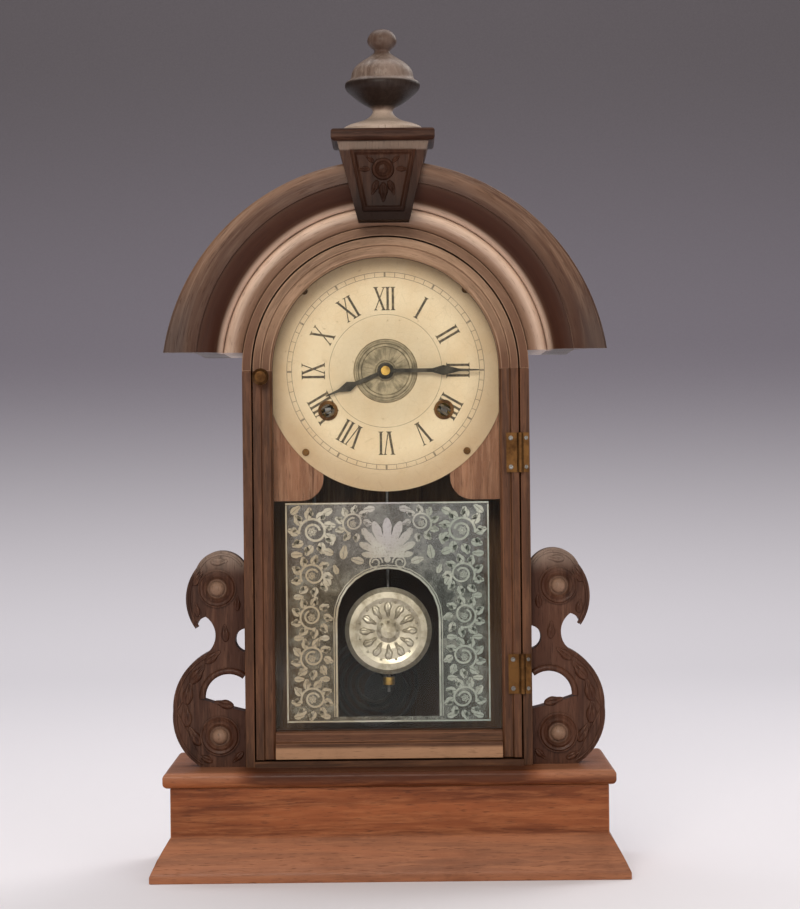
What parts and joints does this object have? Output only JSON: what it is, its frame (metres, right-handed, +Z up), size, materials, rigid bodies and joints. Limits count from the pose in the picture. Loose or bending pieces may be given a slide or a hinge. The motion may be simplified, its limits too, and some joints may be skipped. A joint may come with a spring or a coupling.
{
  "type": "shelf clock",
  "caption": "Arched wooden shelf clock with a glazed hinged door, carved side brackets, turned finial, swinging pendulum and wheel-driven hands.",
  "frame": {"origin": "bottom centre of the bounding box, on the surface the clock stands on", "axes": "+Z up; the dial and door face -Y; +X to the right as seen from the front"},
  "size_m": [0.31, 0.128, 0.553],
  "materials": {
    "base_walnut": "oiled reddish walnut",
    "case_walnut": "satin dark walnut",
    "carved_walnut": "carved dark walnut",
    "hood_walnut": "satin walnut",
    "finial_wood": "turned and rubbed",
    "light_wood": "light maple, satin",
    "dial_paint": "cream painted zinc",
    "brass": "aged brass",
    "bob_brass": "pale pressed brass",
    "steel": "blued spring steel",
    "hand_steel": "blackened",
    "iron": "cast, japanned",
    "glass": "clear pane with a silvered stencil"
  },
  "bodies": {
    "case": {"base_boards": "base_walnut", "base_top_board": "base_walnut", "foot_mouldings": "base_walnut", "case_side_left": "case_walnut", "case_side_right": "case_walnut", "case_arch_shell": "case_walnut", "case_floor": "case_walnut", "backboard": "case_walnut", "arch_bead": "light_wood", "hood_left": "hood_walnut", "hood_right": "hood_walnut", "keystone": "carved_walnut", "keystone_cap": "carved_walnut", "finial": "finial_wood", "bracket_left": "carved_walnut", "bracket_right": "carved_walnut", "dial_blocks": "case_walnut", "dial": "dial_paint", "dial_screws": "steel", "winding_eyelets": "brass", "case_hinge_leaves": "brass", "latch_catch": "brass", "movement_front_plate": "brass", "movement_back_plate": "brass", "movement_blocks": "case_walnut", "mainsprings": "steel", "suspension_post": "brass", "gong_base": "iron", "gong_coil": "steel"},
    "door": {"door_stile_left": "case_walnut", "door_stile_right": "case_walnut", "door_bottom_rail": "case_walnut", "door_arch_rail": "case_walnut", "door_glass": "glass", "glass_beads": "case_walnut", "door_hinge_leaves": "brass"},
    "latch": {"latch_knob": "brass"},
    "time_great": {"time_great_wheel": "brass"},
    "time_winder": {"time_winding_arbor": "steel"},
    "second": {"second_wheel": "brass"},
    "centre": {"centre_wheel": "brass"},
    "third": {"third_wheel": "brass"},
    "escape": {"escape_wheel": "brass"},
    "minute": {"minute_arbor": "brass", "minute_hand": "hand_steel", "hand_nut": "brass"},
    "minute_between": {"minute_wheel": "brass"},
    "hour": {"hour_wheel": "brass", "hour_hand": "hand_steel"},
    "verge": {"verge": "steel"},
    "pendulum": {"pendulum_rod": "steel", "pendulum_bob": "bob_brass", "rating_nut": "brass"},
    "strike_great": {"strike_great_wheel": "brass"},
    "strike_winder": {"strike_winding_arbor": "steel"},
    "strike_second": {"strike_second_wheel": "brass"},
    "pin": {"pin_wheel": "brass"},
    "warning": {"warning_wheel": "brass"},
    "fly": {"fly": "brass"},
    "hammer": {"hammer": "steel"}
  },
  "joints": [
    {"name": "door_swing", "type": "hinge", "parent": "case", "child": "door", "pos_m": [0.0877, -0.032, 0.2], "axis": [0, 0, 1], "range_deg": [0, 110]},
    {"name": "latch_turn", "type": "hinge", "parent": "door", "child": "latch", "pos_m": [-0.0815, -0.023, 0.326], "axis": [0, -1, 0], "range_deg": [0, 90]},
    {"name": "pendulum_swing", "type": "hinge", "parent": "case", "child": "pendulum", "pos_m": [0, 0.003, 0.305], "axis": [0, -1, 0], "range_deg": [-5, 5]},
    {"name": "verge_rock", "type": "hinge", "parent": "case", "child": "verge", "pos_m": [0, 0.008, 0.305], "axis": [0, -1, 0], "range_deg": [-5, 5]},
    {"name": "third_spin", "type": "hinge", "parent": "case", "child": "third", "pos_m": [-0.00593, 0.026, 0.30468], "axis": [0, 1, 0], "continuous": true},
    {"name": "centre_spin", "type": "hinge", "parent": "case", "child": "centre", "pos_m": [0, 0.026, 0.33], "axis": [0, 1, 0], "continuous": true},
    {"name": "second_spin", "type": "hinge", "parent": "case", "child": "second", "pos_m": [0.02671, 0.026, 0.33695], "axis": [0, 1, 0], "continuous": true},
    {"name": "time_great_spin", "type": "hinge", "parent": "case", "child": "time_great", "pos_m": [0.0385, 0.026, 0.304], "axis": [0, 1, 0], "continuous": true},
    {"name": "escape_spin", "type": "hinge", "parent": "case", "child": "escape", "pos_m": [0, 0.026, 0.2835], "axis": [0, 1, 0], "continuous": true},
    {"name": "time_winding", "type": "hinge", "parent": "time_great", "child": "time_winder", "pos_m": [0.0385, 0.026, 0.304], "axis": [0, 1, 0], "continuous": true},
    {"name": "minute_spin", "type": "hinge", "parent": "case", "child": "minute", "pos_m": [0, -0.01, 0.33], "axis": [0, 1, 0], "continuous": true},
    {"name": "minute_wheel_spin", "type": "hinge", "parent": "case", "child": "minute_between", "pos_m": [-0.01559, 0.008, 0.339], "axis": [0, 1, 0], "continuous": true},
    {"name": "hour_spin", "type": "hinge", "parent": "case", "child": "hour", "pos_m": [0, 0.005, 0.33], "axis": [0, 1, 0], "continuous": true},
    {"name": "pin_spin", "type": "hinge", "parent": "case", "child": "pin", "pos_m": [-0.02719, 0.026, 0.35307], "axis": [0, 1, 0], "continuous": true},
    {"name": "strike_second_spin", "type": "hinge", "parent": "case", "child": "strike_second", "pos_m": [-0.03073, 0.026, 0.33298], "axis": [0, 1, 0], "continuous": true},
    {"name": "strike_great_spin", "type": "hinge", "parent": "case", "child": "strike_great", "pos_m": [-0.0385, 0.026, 0.304], "axis": [0, 1, 0], "continuous": true},
    {"name": "warning_spin", "type": "hinge", "parent": "case", "child": "warning", "pos_m": [-0.01065, 0.026, 0.35909], "axis": [0, 1, 0], "continuous": true},
    {"name": "fly_spin", "type": "hinge", "parent": "case", "child": "fly", "pos_m": [0.00313, 0.026, 0.36152], "axis": [0, 1, 0], "continuous": true},
    {"name": "strike_winding", "type": "hinge", "parent": "strike_great", "child": "strike_winder", "pos_m": [-0.0385, 0.026, 0.304], "axis": [0, 1, 0], "continuous": true},
    {"name": "hammer_lift", "type": "hinge", "parent": "case", "child": "hammer", "pos_m": [-0.05, 0.03, 0.347], "axis": [0, 1, 0], "range_deg": [0, 6]}
  ],
  "couplings": [
    {"joint": "verge_rock", "follows": "pendulum_swing", "ratio": 1},
    {"joint": "centre_spin", "follows": "third_spin", "ratio": -0.083333},
    {"joint": "second_spin", "follows": "third_spin", "ratio": 0.027778},
    {"joint": "time_great_spin", "follows": "third_spin", "ratio": -0.0069444},
    {"joint": "escape_spin", "follows": "third_spin", "ratio": -10},
    {"joint": "minute_wheel_spin", "follows": "minute_spin", "ratio": -0.33333},
    {"joint": "hour_spin", "follows": "minute_spin", "ratio": 0.083333},
    {"joint": "strike_second_spin", "follows": "pin_spin", "ratio": -0.13333},
    {"joint": "strike_great_spin", "follows": "pin_spin", "ratio": 0.033333},
    {"joint": "warning_spin", "follows": "pin_spin", "ratio": -7},
    {"joint": "fly_spin", "follows": "pin_spin", "ratio": 42}
  ]
}
